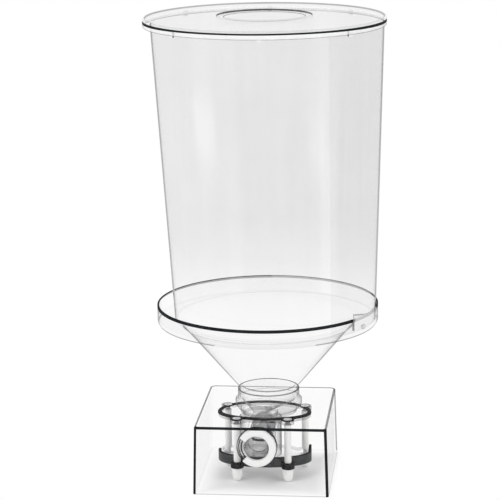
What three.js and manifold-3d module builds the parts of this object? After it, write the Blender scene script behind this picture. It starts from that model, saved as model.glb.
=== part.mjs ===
// Table-top volumetric filling machine in clear plastic: a slanting hopper on a funnel, a collar,
// and a cover box that holds a rotary dosing valve.
// Millimetres, +Z up, front towards -Y, origin on the table under the middle of the lid.
import * as THREE from "three";
import { mergeVertices } from "three/addons/utils/BufferGeometryUtils.js";
import Module from "manifold-3d";

const wasm = await Module();
wasm.setup();

// Facets round a turned piece: large, middle and small ones.
const ROUND = 54;
const MIDDLE_ROUND = 34;
const SMALL_ROUND = 16;

// Gap between pieces that touch, overrun of a cutting body, and a broken edge.
const GAP = 0.3;
const PAST = 1;
const EDGE = 0.5;

// Lid.
const LID_R = 125;
const LID_SKIRT_IN_R = 123.2;
const LID_TOP = 488;
const LID_PLATE_BOTTOM = 484.6;
const LID_SKIRT_BOTTOM = 481.8;
const LID_EDGE = 1.2;
const BEAD_TOP = 490.4;
const BEAD_IN_R = 122;
const BOSS_R = 49.2;
const BOSS_TOP = 492;
const BOSS_EDGE = 1.4;
const BOSS_DISH_R = 42;
const BOSS_DISH_EDGE = 1.5;
const BOSS_DISH_Z = 489.6;
const TAB_COUNT = 8;
const TAB_FIRST_DEG = -87;
const TAB_WIDTH = 5;
const TAB_BOTTOM = 480.2;

// Hopper wall: a rolled sheet that stands a little off centre in its tray.
const WALL_THICK = 3;
const WALL_BOTTOM = 173.3;
const WALL_TOP = 484.3;
const WALL_BOTTOM_R = 105;
const WALL_TOP_R = 119.9;
const WALL_BOTTOM_X = 8;
const WALL_TOP_X = 2.7;
const SEAM_DEG = -37;
const SEAM_HALF_DEG = 2.2;
const SEAM_EXTRA = 1.2;
const SEAM_SHORT = 6;

// Funnel: tray, cone and neck in one moulding. The cone's radius grows by its slope with height.
const TRAY_R = 116.2;
const TRAY_IN_R = 114.2;
const TRAY_TOP = 188.5;
const TRAY_FLOOR = 173;
const TRAY_UNDERSIDE = 168.8;
const TRAY_FILLET = 4.2;
const CONE_SLOPE = 0.84;
const CONE_START = 96.8;
const CONE_LEVEL_THICK = 3.9;
const NECK_R = 30.6;
const NECK_BORE_R = 28.4;
const NECK_BOTTOM = 84.6;
const NOTCH_DEG = -35;
const NOTCH_WIDTH = 1.6;
const NOTCH_BOTTOM = 177;
const LIP_DEG = 15;
const LIP_TOP = 194;
const LIP_ROOT = 3;
const LIP_STEPS = 4;
const RIM_SCREW_DEG = -27.5;
const RIM_SCREW_Z = 178;
const RIM_SCREW_HEAD_R = 3.1;
const RIM_SCREW_HEAD = 1.8;
const RIM_SCREW_SHANK_R = 1.4;
const RIM_SCREW_RECESS_R = 2.4;
const RIM_SCREW_RECESS_END = 111.2;

// Collar between neck and cover box.
const SOCKET_R = 32.6;
const SOCKET_IN_R = 31;
const SOCKET_TOP = 94.4;
const SOCKET_FLOOR = 83;
const FLANGE_R = 35.3;
const FLANGE_TOP = 83.5;
const FLANGE_BOTTOM = 77.5;
const FOOT_R = 32;
const SPIGOT_R = 29.8;
const SPIGOT_BOTTOM = 69.4;
const THROAT_R = 18.4;
const THROAT_BOTTOM = 65.4;
const PORT_R = 7.4;
const PORT_STRAIGHT = 2;
const SEAL_IN_R = 10;
const SEAL_OUT_R = 17.4;

// Cover box, open below.
const BOX_X = -2.3;
const BOX_TOP_WIDTH = 137.8;
const BOX_TOP_DEPTH = 150;
const BOX_BOTTOM_WIDTH = 141.6;
const BOX_BOTTOM_DEPTH = 152;
const BOX_HEIGHT = 73;
const BOX_WALL = 3;
const BOX_FRONT_CORNER_R = 2;
const BOX_BACK_CORNER_R = 6;
const BOX_IN_FRONT_R = 0.6;
const BOX_EDGE = 0.9;
const PANEL_HOLE_R = 30.2;
const SHAFT_HOLE_R = 6.5;

// Dosing mechanism, round a centre of its own. Its plan is an oval that is flatter in front.
const MECH_X = -4.5;
const PLAN_SIDE = 50;
const PLAN_FRONT = 27;
const PLAN_REAR = 38;
const PLAN_Y = -2;
const FRONT_POST_X = 27;
const FRONT_POST_Y = -29;
const REAR_POST_X = 41.6;
const REAR_POST_Y = 20;
const DISC_INSET = 2.7;
const DISC_TOP = 67.4;
const DISC_BOTTOM = 63.7;
const LOBE_R = 7;
const GASKET_WALL = 2.4;
const GASKET_LIP = 4.4;
const GASKET_HOLE_R = 4.9;
const GASKET_TOP = 69;
const GASKET_BOTTOM = 67.7;
const GASKET_SKIRT = 64;
const ROD_R = 2.3;
const ROD_HOLE_R = 2.6;
const ROD_HEAD_R = 4.5;
const ROD_BOTTOM = 5.4;
const SLEEVE_R = 3.7;
const SLEEVE_TOP = 63.4;
const SLEEVE_BOTTOM = 20.9;
const PLATE_INSET = 3.1;
const PLATE_TOP = 20.6;
const PLATE_BOTTOM = 16.6;
const LOBE_BOTTOM = 14.6;
const OUTLET_R = 9;
const NUT_TOP = 14.3;
const NUT_HEX_BOTTOM = 8;
const NUT_BOTTOM = 0;
const NUT_FLATS = 11;
const NUT_RIM_R = 6.1;
const NUT_DOME_R = 5.4;
const NUT_FOOT_R = 2;
const NUT_HOLE_BOTTOM = 5;

// Dark bracket round the front of the lower plate.
const BAND_WALL = 2.8;
const BAND_FLANGE = 9;
const BAND_FLANGE_TOP = 16.3;
const BAND_TOP = 25.5;
const BAND_PAST_DEG = 5;
const HORN_TOP = 31.5;
const HORN_DEG = 5;

// Valve: its axis runs from front to back, left of the mechanism's centre.
const VALVE_OFFSET = -4.5;
const AXIS_Z = 42;
const CHAMBER_R = 22.5;
const BARREL_R = 16;
const BARREL_FRONT = 39;
const BARREL_REAR = -43;
const BORE_R = 13;
const ROTOR_R = 12.9;
const ROTOR_FRONT = 38.7;
const ROTOR_REAR = -35.6;
const ROTOR_HOLLOW_R = 10.9;
const ROTOR_HOLLOW_END = -13;
const CUP_R = 8.6;
const CUP_BORE_R = 7.2;
const CUP_FLOOR = -9;
const CUP_RING_R = 9.5;
const CUP_RING_TUBE = 0.55;
const CUP_RING_HEIGHT = -3;
const SHAFT_R = 4;
const SHAFT_BORE_R = 4.12;
const SHAFT_START = -16;
const SHAFT_END = -92;
const SHAFT_FLAT = 2.9;
const SHAFT_FLAT_LENGTH = 13;
const BUSH_R = 12.9;
const BUSH_REAR = -42.5;
const NOSE_R = 21.5;
const NOSE_REAR = 39.3;
const NOSE_FRONT = 43.7;
const WINDOW_R = 12.8;
const WINDOW_REAR = 41.1;
const WINDOW_FRONT = 43.3;
const CLIP_R = 20.5;
const CLIP_IN_R = 13.1;
const CLIP_REAR = 44;
const CLIP_FRONT = 49.3;
const CLIP_EDGE = 1;
const CLIP_GAP_FROM_DEG = 147;
const CLIP_GAP_TO_DEG = 224;

// Lock screw on a boss of the barrel, measured from the mechanism's centre.
const LOCK_OFFSET = 10;
const LOCK_Y = -34;
const LOCK_HEAD_R = 4.4;
const LOCK_HEAD_TOP = 66.5;
const LOCK_HEAD_EDGE = 1;
const LOCK_SLOT = 1;
const LOCK_SHANK_R = 1.7;
const LOCK_BORE_R = 1.8;
const LOCK_BOTTOM = 51;
const LOCK_BOSS_R = 4.6;
const LOCK_SEAT = 61.2;
const LOCK_BOSS_BOTTOM = 44;

const VALVE_X = MECH_X + VALVE_OFFSET;
const rad = THREE.MathUtils.degToRad;

// A closed geometry as a solid for the joins and cuts.
function solid(geometry) {
  const bare = geometry.index ? geometry.toNonIndexed() : geometry.clone();
  bare.deleteAttribute("normal");
  bare.deleteAttribute("uv");
  const welded = mergeVertices(bare, 1e-4);
  return new wasm.Manifold(
    new wasm.Mesh({
      numProp: 3,
      vertProperties: new Float32Array(welded.attributes.position.array),
      triVerts: new Uint32Array(welded.index.array),
    }),
  );
}

const asSolid = (shape) => (shape.isBufferGeometry ? solid(shape) : shape);
const join = (...shapes) => shapes.map(asSolid).reduce((a, b) => a.add(b));
const cut = (shape, ...tools) => tools.map(asSolid).reduce((a, b) => a.subtract(b), asSolid(shape));
const common = (a, b) => asSolid(a).intersect(asSolid(b));

// Turns a profile of [radius, z] points about Z. The profile runs anticlockwise as seen with the
// radius to the right, and either starts and ends on the axis or closes on itself.
function turn(profile, segments = ROUND) {
  const points = profile.map(([r, z]) => new THREE.Vector2(r, z));
  if (profile[0][0] !== 0) {
    points.push(points[0].clone());
  }
  return new THREE.LatheGeometry(points, segments).rotateX(Math.PI / 2);
}

// Cylinder along Z.
function post(r, z0, z1, segments = SMALL_ROUND) {
  return turn([[0, z0], [r, z0], [r, z1], [0, z1]], segments);
}

// Flat ring about Z.
function washer(inner, outer, z0, z1, segments = MIDDLE_ROUND) {
  return turn([[inner, z0], [outer, z0], [outer, z1], [inner, z1]], segments);
}

// Cylinder along Y.
function bar(r, y0, y1, segments = SMALL_ROUND) {
  return new THREE.CylinderGeometry(r, r, y1 - y0, segments).translate(0, (y0 + y1) / 2, 0);
}

// Box between two corners.
function block([x0, y0, z0], [x1, y1, z1]) {
  const geometry = new THREE.BoxGeometry(x1 - x0, y1 - y0, z1 - z0);
  return geometry.translate((x0 + x1) / 2, (y0 + y1) / 2, (z0 + z1) / 2);
}

// Points of an arc about (r, z), from angle a to angle b in degrees.
function arc(r, z, radius, a, b, steps) {
  return Array.from({ length: steps + 1 }, (_, k) => {
    const t = rad(a + ((b - a) * k) / steps);
    return [r + radius * Math.cos(t), z + radius * Math.sin(t)];
  });
}

// Body between stacked loops with equal point counts, closed by flat caps.
function loft(loops) {
  const n = loops[0].length;
  const index = [];
  for (let k = 0; k + 1 < loops.length; k++) {
    for (let i = 0; i < n; i++) {
      const a = k * n + i;
      const b = k * n + ((i + 1) % n);
      index.push(a, b, b + n, a, b + n, a + n);
    }
  }
  const last = (loops.length - 1) * n;
  for (let i = 1; i + 1 < n; i++) {
    index.push(0, i + 1, i);
    index.push(last, last + i, last + i + 1);
  }
  const geometry = new THREE.BufferGeometry();
  geometry.setAttribute("position", new THREE.Float32BufferAttribute(loops.flat(2), 3));
  geometry.setIndex(index);
  return geometry;
}

// Loop of points on a circle at height z, with its centre on the X axis.
function circle(r, z, x, segments = ROUND) {
  return arc(x, 0, r, 0, 360 * (1 - 1 / segments), segments - 1).map(([px, py]) => [px, py, z]);
}

// Prism over the angles between two limits, from the axis out to radius r.
function pie(from, to, r, z0, z1, steps) {
  const outline = [[0, 0], ...arc(0, 0, r, from, to, steps)];
  return loft([z0, z1].map((z) => outline.map(([x, y]) => [x, y, z])));
}

// Outline of the mechanism from above at height z, drawn in by an inset.
function planLoop(inset, z) {
  return arc(0, 0, 1, 0, 360 * (1 - 1 / MIDDLE_ROUND), MIDDLE_ROUND - 1).map(([across, along]) => [
    (PLAN_SIDE - inset) * across,
    PLAN_Y + ((along > 0 ? PLAN_REAR : PLAN_FRONT) - inset) * along,
    z,
  ]);
}

// Upright block with that outline.
function planBlock(inset, z0, z1) {
  return loft([planLoop(inset, z0), planLoop(inset, z1)]);
}

// Lid with a raised bead round its rim, a skirt with eight tabs, and a dished boss in the middle.
function makeLid() {
  const plate = turn([
    [0, LID_PLATE_BOTTOM],
    [LID_SKIRT_IN_R, LID_PLATE_BOTTOM],
    [LID_SKIRT_IN_R, LID_SKIRT_BOTTOM],
    [LID_R, LID_SKIRT_BOTTOM],
    [LID_R, BEAD_TOP - LID_EDGE],
    [LID_R - LID_EDGE, BEAD_TOP],
    [BEAD_IN_R + EDGE, BEAD_TOP],
    [BEAD_IN_R, LID_TOP],
    [BOSS_R, LID_TOP],
    [BOSS_R, BOSS_TOP - BOSS_EDGE],
    [BOSS_R - BOSS_EDGE, BOSS_TOP],
    [BOSS_DISH_R + BOSS_DISH_EDGE, BOSS_TOP],
    [BOSS_DISH_R, BOSS_DISH_Z],
    [0, BOSS_DISH_Z],
  ]);
  const skirt = washer(LID_SKIRT_IN_R, LID_R, TAB_BOTTOM, LID_SKIRT_BOTTOM + PAST, ROUND);
  const spokes = Array.from({ length: TAB_COUNT }, (_, k) =>
    block([0, -TAB_WIDTH / 2, TAB_BOTTOM - PAST], [LID_R + PAST, TAB_WIDTH / 2, LID_TOP])
      .rotateZ(rad(TAB_FIRST_DEG + (360 * k) / TAB_COUNT)),
  );
  return join(plate, common(skirt, join(...spokes)));
}

// Slanting clear cone of sheet with a lapped seam at the front right.
function makeWall() {
  const cone = (inset) =>
    loft([
      circle(WALL_BOTTOM_R - inset, WALL_BOTTOM, WALL_BOTTOM_X),
      circle(WALL_TOP_R - inset, WALL_TOP, WALL_TOP_X),
    ]);
  const strip = (r, z, x) => {
    const from = SEAM_DEG - SEAM_HALF_DEG;
    const to = SEAM_DEG + SEAM_HALF_DEG;
    const front = arc(x, 0, r + SEAM_EXTRA, from, to, 4);
    const back = arc(x, 0, r - WALL_THICK / 2, to, from, 4);
    return [...front, ...back].map(([px, py]) => [px, py, z]);
  };
  const seam = loft([
    strip(WALL_BOTTOM_R, WALL_BOTTOM, WALL_BOTTOM_X),
    strip(WALL_TOP_R, WALL_TOP - SEAM_SHORT, WALL_TOP_X),
  ]);
  return cut(join(cone(0), seam), cone(WALL_THICK));
}

// Lip on the tray's rim: highest at the slit, it slopes down to the rim along its arc.
function makeLip() {
  const sections = arc(0, 0, 1, NOTCH_DEG, NOTCH_DEG + LIP_DEG, LIP_STEPS).map(([across, along], k) => {
    const top = THREE.MathUtils.lerp(LIP_TOP, TRAY_TOP - EDGE, k / LIP_STEPS);
    const inner = TRAY_IN_R + EDGE / 2;
    const outer = TRAY_R - EDGE / 2;
    const root = TRAY_TOP - LIP_ROOT;
    const section = [[inner, root], [inner, top], [outer, top], [outer, root]];
    return section.map(([r, z]) => [r * across, r * along, z]);
  });
  return loft(sections);
}

// Tray, cone and neck. The tray's rim is slit at the front right beside a sloping lip.
function makeFunnel() {
  const coneR = (z) => NECK_R + CONE_SLOPE * (z - CONE_START);
  const coneInStart = CONE_START + (NECK_BORE_R + CONE_LEVEL_THICK - NECK_R) / CONE_SLOPE;
  const body = turn([
    [NECK_BORE_R, NECK_BOTTOM],
    [NECK_R, NECK_BOTTOM],
    [NECK_R, CONE_START],
    [coneR(TRAY_UNDERSIDE), TRAY_UNDERSIDE],
    ...arc(TRAY_R - TRAY_FILLET, TRAY_UNDERSIDE + TRAY_FILLET, TRAY_FILLET, -90, 0, 2),
    [TRAY_R, TRAY_TOP - EDGE],
    [TRAY_R - EDGE, TRAY_TOP],
    [TRAY_IN_R + EDGE, TRAY_TOP],
    [TRAY_IN_R, TRAY_TOP - EDGE],
    [TRAY_IN_R, TRAY_FLOOR],
    [coneR(TRAY_FLOOR) - CONE_LEVEL_THICK, TRAY_FLOOR],
    [NECK_BORE_R, coneInStart],
  ]);
  const slit = block([TRAY_IN_R - PAST, -NOTCH_WIDTH, NOTCH_BOTTOM], [TRAY_R + PAST, 0, LIP_TOP + PAST]);
  const recess = bar(RIM_SCREW_RECESS_R, RIM_SCREW_RECESS_END, TRAY_IN_R + EDGE);
  const hole = bar(RIM_SCREW_SHANK_R + GAP, RIM_SCREW_RECESS_END, TRAY_R + PAST);
  for (const drilling of [recess, hole]) {
    drilling.rotateZ(rad(RIM_SCREW_DEG - 90)).translate(0, 0, RIM_SCREW_Z);
  }
  return cut(join(body, makeLip()), slit.rotateZ(rad(NOTCH_DEG)), recess, hole);
}

// Small pan-head screw; its head starts at z = 0 and its shank points down.
function makeRimScrew() {
  const shankEnd = TRAY_IN_R - TRAY_R;
  return turn(
    [
      [0, shankEnd],
      [RIM_SCREW_SHANK_R, shankEnd],
      [RIM_SCREW_SHANK_R, GAP],
      [RIM_SCREW_HEAD_R, GAP],
      [RIM_SCREW_HEAD_R, RIM_SCREW_HEAD - EDGE],
      [RIM_SCREW_HEAD_R - EDGE, RIM_SCREW_HEAD],
      [0, RIM_SCREW_HEAD],
    ],
    SMALL_ROUND,
  );
}

// Collar: socket for the neck, flange on the box, and a throat that leads to the valve.
function makeCollar() {
  const outside = turn(
    [
      [0, SPIGOT_BOTTOM],
      [SPIGOT_R, SPIGOT_BOTTOM],
      [SPIGOT_R, BOX_HEIGHT + GAP],
      [FOOT_R, BOX_HEIGHT + GAP],
      [FLANGE_R, FLANGE_BOTTOM],
      [FLANGE_R, FLANGE_TOP - EDGE],
      [FLANGE_R - EDGE, FLANGE_TOP],
      [SOCKET_R, FLANGE_TOP],
      [SOCKET_R, SOCKET_TOP - EDGE],
      [SOCKET_R - EDGE, SOCKET_TOP],
      [0, SOCKET_TOP],
    ],
    MIDDLE_ROUND,
  );
  const throat = post(THROAT_R, THROAT_BOTTOM, BOX_HEIGHT, MIDDLE_ROUND).translate(VALVE_X, 0, 0);
  const socket = post(SOCKET_IN_R, SOCKET_FLOOR, SOCKET_TOP + PAST, MIDDLE_ROUND);
  const port = loft([
    circle(PORT_R, THROAT_BOTTOM - PAST, VALVE_X, MIDDLE_ROUND),
    circle(PORT_R, THROAT_BOTTOM + PORT_STRAIGHT, VALVE_X, MIDDLE_ROUND),
    circle(NECK_BORE_R, SOCKET_FLOOR + EDGE, 0, MIDDLE_ROUND),
  ]);
  return cut(join(outside, throat), socket, port);
}

// Rounded rectangle at height z with smaller corners in front.
function boxLoop(width, depth, frontR, backR, z) {
  const x = width / 2;
  const y = depth / 2;
  return [
    ...arc(x - backR, y - backR, backR, 0, 90, 6),
    ...arc(-x + backR, y - backR, backR, 90, 180, 6),
    ...arc(-x + frontR, -y + frontR, frontR, 180, 270, 6),
    ...arc(x - frontR, -y + frontR, frontR, 270, 360, 6),
  ].map(([px, py]) => [px, py, z]);
}

// Clear cover with drafted sides and broken top edges. It has a hole for the collar and one for
// the shaft.
function makeCover() {
  const loopAt = (z, inset, frontR, backR) => {
    const t = z / BOX_HEIGHT;
    const width = THREE.MathUtils.lerp(BOX_BOTTOM_WIDTH, BOX_TOP_WIDTH, t) - 2 * inset;
    const depth = THREE.MathUtils.lerp(BOX_BOTTOM_DEPTH, BOX_TOP_DEPTH, t) - 2 * inset;
    return boxLoop(width, depth, frontR, backR, z);
  };
  const outside = loft([
    loopAt(0, 0, BOX_FRONT_CORNER_R, BOX_BACK_CORNER_R),
    loopAt(BOX_HEIGHT - BOX_EDGE, 0, BOX_FRONT_CORNER_R, BOX_BACK_CORNER_R),
    loopAt(BOX_HEIGHT - 0.3 * BOX_EDGE, 0.3 * BOX_EDGE, BOX_FRONT_CORNER_R, BOX_BACK_CORNER_R),
    loopAt(BOX_HEIGHT, BOX_EDGE, BOX_FRONT_CORNER_R, BOX_BACK_CORNER_R),
  ]);
  const inside = loft([
    loopAt(-PAST, BOX_WALL, BOX_IN_FRONT_R, BOX_BACK_CORNER_R - BOX_WALL),
    loopAt(BOX_HEIGHT - BOX_WALL, BOX_WALL, BOX_IN_FRONT_R, BOX_BACK_CORNER_R - BOX_WALL),
  ]);
  const panelHole = post(PANEL_HOLE_R, SPIGOT_BOTTOM - PAST, BOX_HEIGHT + PAST, MIDDLE_ROUND);
  const wallMiddle = BOX_TOP_DEPTH / 2;
  const shaftHole = bar(SHAFT_HOLE_R, wallMiddle - 2 * BOX_WALL, wallMiddle + 2 * BOX_WALL);
  return cut(
    outside,
    inside,
    panelHole.translate(-BOX_X, 0, 0),
    shaftHole.translate(VALVE_X - BOX_X, 0, AXIS_Z),
  );
}

// Places of the four tie rods about the mechanism's centre.
const posts = {
  front_left: [-FRONT_POST_X, FRONT_POST_Y],
  front_right: [FRONT_POST_X, FRONT_POST_Y],
  rear_left: [-REAR_POST_X, REAR_POST_Y],
  rear_right: [REAR_POST_X, REAR_POST_Y],
};
const allPosts = Object.values(posts);
const frontPosts = [posts.front_left, posts.front_right];
const rearPosts = [posts.rear_left, posts.rear_right];

// The same upright cylinder at each of some posts.
function atPosts(places, r, z0, z1) {
  return places.map(([x, y]) => post(r, z0, z1).translate(x, y, 0));
}

// Clear plate with four lobes and a hole for the throat.
function makeUpperDisc() {
  const disc = join(
    planBlock(DISC_INSET, DISC_BOTTOM, DISC_TOP),
    ...atPosts(allPosts, LOBE_R, DISC_BOTTOM, DISC_TOP),
  );
  const throatHole = post(THROAT_R + GAP, DISC_BOTTOM - PAST, DISC_TOP + PAST, MIDDLE_ROUND);
  return cut(
    disc,
    ...atPosts(allPosts, ROD_HOLE_R, DISC_BOTTOM - PAST, DISC_TOP + PAST),
    throatHole.translate(VALVE_OFFSET, 0, 0),
  );
}

// Black gasket round the rim of the upper disc, with a lip and four round pads on top.
function makeGasket() {
  const rim = cut(
    planBlock(0, GASKET_SKIRT, GASKET_TOP),
    planBlock(GASKET_WALL, GASKET_SKIRT - PAST, GASKET_BOTTOM),
    planBlock(GASKET_LIP, GASKET_SKIRT - PAST, GASKET_TOP + PAST),
    ...atPosts(allPosts, LOBE_R + GAP, GASKET_SKIRT - PAST, GASKET_BOTTOM),
  );
  return cut(
    join(rim, ...atPosts(allPosts, LOBE_R, GASKET_BOTTOM, GASKET_TOP)),
    ...atPosts(allPosts, GASKET_HOLE_R, GASKET_BOTTOM - PAST, GASKET_TOP + PAST),
  );
}

// Clear lower plate with two rear lobes, room for the front ears, and the outlet.
function makeLowerPlate() {
  const plate = join(
    planBlock(PLATE_INSET, PLATE_BOTTOM, PLATE_TOP),
    ...atPosts(rearPosts, LOBE_R, LOBE_BOTTOM, PLATE_TOP),
  );
  const outlet = post(OUTLET_R, PLATE_BOTTOM - PAST, PLATE_TOP + PAST);
  return cut(
    plate,
    ...atPosts(rearPosts, ROD_HOLE_R, LOBE_BOTTOM - PAST, PLATE_TOP + PAST),
    ...atPosts(frontPosts, LOBE_R + EDGE, PLATE_BOTTOM - PAST, PLATE_TOP + PAST),
    outlet.translate(VALVE_OFFSET, 0, 0),
  );
}

// Dark bracket round the front half: an angle section with two ears and a taller right end.
function makeBracket() {
  const angle = cut(
    planBlock(0, LOBE_BOTTOM, HORN_TOP),
    planBlock(BAND_WALL, BAND_FLANGE_TOP, HORN_TOP + PAST),
    planBlock(BAND_FLANGE, LOBE_BOTTOM - PAST, HORN_TOP),
  );
  const reach = 2 * PLAN_SIDE;
  const front = pie(-180 - BAND_PAST_DEG, BAND_PAST_DEG, reach, 0, BAND_TOP, 20);
  const horn = pie(BAND_PAST_DEG - HORN_DEG, BAND_PAST_DEG, reach, 0, HORN_TOP + PAST, 1);
  const kept = join(front.translate(0, PLAN_Y, 0), horn.translate(0, PLAN_Y, 0));
  return cut(
    join(common(angle, kept), ...atPosts(frontPosts, LOBE_R, LOBE_BOTTOM, PLATE_TOP)),
    ...atPosts(frontPosts, ROD_HOLE_R, LOBE_BOTTOM - PAST, BAND_TOP + PAST),
  );
}

// Long screw that ties the disc to what lies below it.
function makeRod() {
  return turn(
    [
      [0, ROD_BOTTOM],
      [ROD_R, ROD_BOTTOM],
      [ROD_R, GASKET_BOTTOM],
      [ROD_HEAD_R, GASKET_BOTTOM],
      [ROD_HEAD_R, GASKET_TOP],
      [0, GASKET_TOP],
    ],
    SMALL_ROUND,
  );
}

// Cap nut with a domed end, on which the mechanism stands.
function makeNut() {
  const hex = post(NUT_FLATS / Math.sqrt(3), NUT_HEX_BOTTOM, NUT_TOP, 6);
  const rim = post(NUT_RIM_R, NUT_HEX_BOTTOM - PAST, NUT_TOP + PAST);
  const dome = turn(
    [
      [0, NUT_BOTTOM],
      [NUT_FOOT_R, NUT_BOTTOM],
      ...arc(0, NUT_BOTTOM + NUT_DOME_R, NUT_DOME_R, -60, 0, 3),
      [NUT_DOME_R, NUT_HEX_BOTTOM + PAST],
      [0, NUT_HEX_BOTTOM + PAST],
    ],
    SMALL_ROUND,
  );
  const hole = post(ROD_HOLE_R, NUT_HOLE_BOTTOM, NUT_TOP + PAST);
  return cut(join(common(hex, rim), dome), hole);
}

// The valve's pieces are made about its axis: Z runs to the front and Y points up.

// Clear valve body: upright chamber, barrel across it, boss for the lock screw, bore and ports.
function makeValveBody() {
  const top = SLEEVE_TOP - AXIS_Z;
  const bottom = SLEEVE_BOTTOM - AXIS_Z;
  const lockX = LOCK_OFFSET - VALVE_OFFSET;
  const lockSeat = LOCK_SEAT - AXIS_Z;
  return cut(
    join(
      bar(CHAMBER_R, bottom, top, MIDDLE_ROUND),
      post(BARREL_R, BARREL_REAR, BARREL_FRONT, MIDDLE_ROUND),
      bar(LOCK_BOSS_R, LOCK_BOSS_BOTTOM - AXIS_Z, lockSeat).translate(lockX, 0, -LOCK_Y),
    ),
    post(BORE_R, BARREL_REAR - PAST, BARREL_FRONT + PAST, MIDDLE_ROUND),
    bar(PORT_R, 0, top + PAST, MIDDLE_ROUND),
    bar(OUTLET_R, bottom - PAST, 0, MIDDLE_ROUND),
    bar(LOCK_BORE_R, LOCK_BOTTOM - PAST - AXIS_Z, lockSeat + PAST).translate(lockX, 0, -LOCK_Y),
  );
}

// Clear measuring rotor: a drum with an open front and a measuring cup that opens upward at rest.
function makeRotor() {
  const drum = solid(post(ROTOR_R, ROTOR_REAR, ROTOR_FRONT, MIDDLE_ROUND));
  const hollow = post(ROTOR_HOLLOW_R, ROTOR_HOLLOW_END, ROTOR_FRONT + PAST, MIDDLE_ROUND);
  const cup = common(bar(CUP_R, -ROTOR_R, ROTOR_R, MIDDLE_ROUND), drum);
  return cut(
    join(cut(drum, hollow), cup),
    bar(CUP_BORE_R, CUP_FLOOR, ROTOR_R + PAST, MIDDLE_ROUND),
    post(SHAFT_BORE_R, ROTOR_REAR - PAST, SHAFT_START + GAP),
  );
}

// Rubber ring round the measuring cup, about the cup's upright axis.
function makeCupRing() {
  return turn(arc(CUP_RING_R, 0, CUP_RING_TUBE, 0, 300, 5), SMALL_ROUND).rotateX(-Math.PI / 2);
}

// Steel drive shaft with a flat at its rear end.
function makeShaft() {
  const flatStart = SHAFT_END + SHAFT_FLAT_LENGTH;
  return cut(
    post(SHAFT_R, SHAFT_END, SHAFT_START),
    block([-SHAFT_R, SHAFT_FLAT, SHAFT_END - PAST], [SHAFT_R, SHAFT_R + PAST, flatStart]),
  );
}

// White C-shaped ring with rounded edges; its opening faces left.
function makeClip() {
  const ring = turn(
    [
      ...arc(CLIP_R - CLIP_EDGE, CLIP_REAR + CLIP_EDGE, CLIP_EDGE, -90, 0, 2),
      ...arc(CLIP_R - CLIP_EDGE, CLIP_FRONT - CLIP_EDGE, CLIP_EDGE, 0, 90, 2),
      ...arc(CLIP_IN_R + CLIP_EDGE, CLIP_FRONT - CLIP_EDGE, CLIP_EDGE, 90, 180, 2),
      ...arc(CLIP_IN_R + CLIP_EDGE, CLIP_REAR + CLIP_EDGE, CLIP_EDGE, 180, 270, 2),
    ],
    MIDDLE_ROUND,
  );
  const opening = pie(
    CLIP_GAP_FROM_DEG,
    CLIP_GAP_TO_DEG,
    2 * CLIP_R,
    CLIP_REAR - PAST,
    CLIP_FRONT + PAST,
    8,
  );
  return cut(ring, opening);
}

// Small slotted thumb screw.
function makeLockScrew() {
  const seat = LOCK_SEAT + GAP;
  const screw = turn(
    [
      [0, LOCK_BOTTOM],
      [LOCK_SHANK_R, LOCK_BOTTOM],
      [LOCK_SHANK_R, seat],
      [LOCK_HEAD_R - EDGE, seat],
      [LOCK_HEAD_R, seat + EDGE],
      [LOCK_HEAD_R, LOCK_HEAD_TOP - LOCK_HEAD_EDGE],
      [LOCK_HEAD_R - LOCK_HEAD_EDGE, LOCK_HEAD_TOP],
      [0, LOCK_HEAD_TOP],
    ],
    SMALL_ROUND,
  );
  const slot = block(
    [-LOCK_HEAD_R - PAST, -LOCK_SLOT / 2, LOCK_HEAD_TOP - LOCK_SLOT],
    [LOCK_HEAD_R + PAST, LOCK_SLOT / 2, LOCK_HEAD_TOP + PAST],
  );
  return cut(screw, slot);
}

const CLEAR = { color: 0xe8eceb, roughness: 0.05, metalness: 0, transparent: true, opacity: 0.35 };
const WHITE = { color: 0xf0f0ee, roughness: 0.4, metalness: 0 };
const DARK = { color: 0x24272a, roughness: 0.6, metalness: 0 };
const BLACK = { color: 0x101112, roughness: 0.8, metalness: 0 };
const SILICONE = { color: 0xdde1e1, roughness: 0.5, metalness: 0, transparent: true, opacity: 0.5 };
const STEEL = { color: 0x9a9da0, roughness: 0.35, metalness: 1 };

// Adds one sub-part to its group.
function add(group, name, shape, look) {
  const { numVert, numProp, vertProperties, triVerts } = asSolid(shape).getMesh();
  const positions = new Float32Array(numVert * 3);
  for (let i = 0; i < numVert; i++) {
    positions.set(vertProperties.subarray(i * numProp, i * numProp + 3), i * 3);
  }
  const geometry = new THREE.BufferGeometry();
  geometry.setAttribute("position", new THREE.BufferAttribute(positions, 3));
  geometry.setIndex(new THREE.BufferAttribute(new Uint32Array(triVerts), 1));
  geometry.computeVertexNormals();
  const mesh = new THREE.Mesh(geometry, new THREE.MeshStandardMaterial(look));
  mesh.name = name;
  group.add(mesh);
  return mesh;
}

// A group inside another one.
function groupIn(parent, x, y, z) {
  const group = new THREE.Group();
  group.position.set(x, y, z);
  parent.add(group);
  return group;
}

const machine = new THREE.Group();

const hopper = groupIn(machine, 0, 0, 0);
add(hopper, "lid", makeLid(), CLEAR);
add(hopper, "hopper_wall", makeWall(), CLEAR);
add(hopper, "funnel", makeFunnel(), CLEAR);
const rimScrew = add(hopper, "rim_screw", makeRimScrew(), STEEL);
const rimAngle = rad(RIM_SCREW_DEG);
rimScrew.position.set(TRAY_R * Math.cos(rimAngle), TRAY_R * Math.sin(rimAngle), RIM_SCREW_Z);
rimScrew.rotation.set(0, Math.PI / 2, rimAngle, "ZYX");

const neckSeal = washer(NECK_BORE_R, NECK_R, SOCKET_FLOOR + GAP, NECK_BOTTOM - GAP);
add(machine, "neck_seal", neckSeal, SILICONE);
add(machine, "collar", makeCollar(), CLEAR);
add(groupIn(machine, BOX_X, 0, 0), "cover_box", makeCover(), CLEAR);

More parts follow.
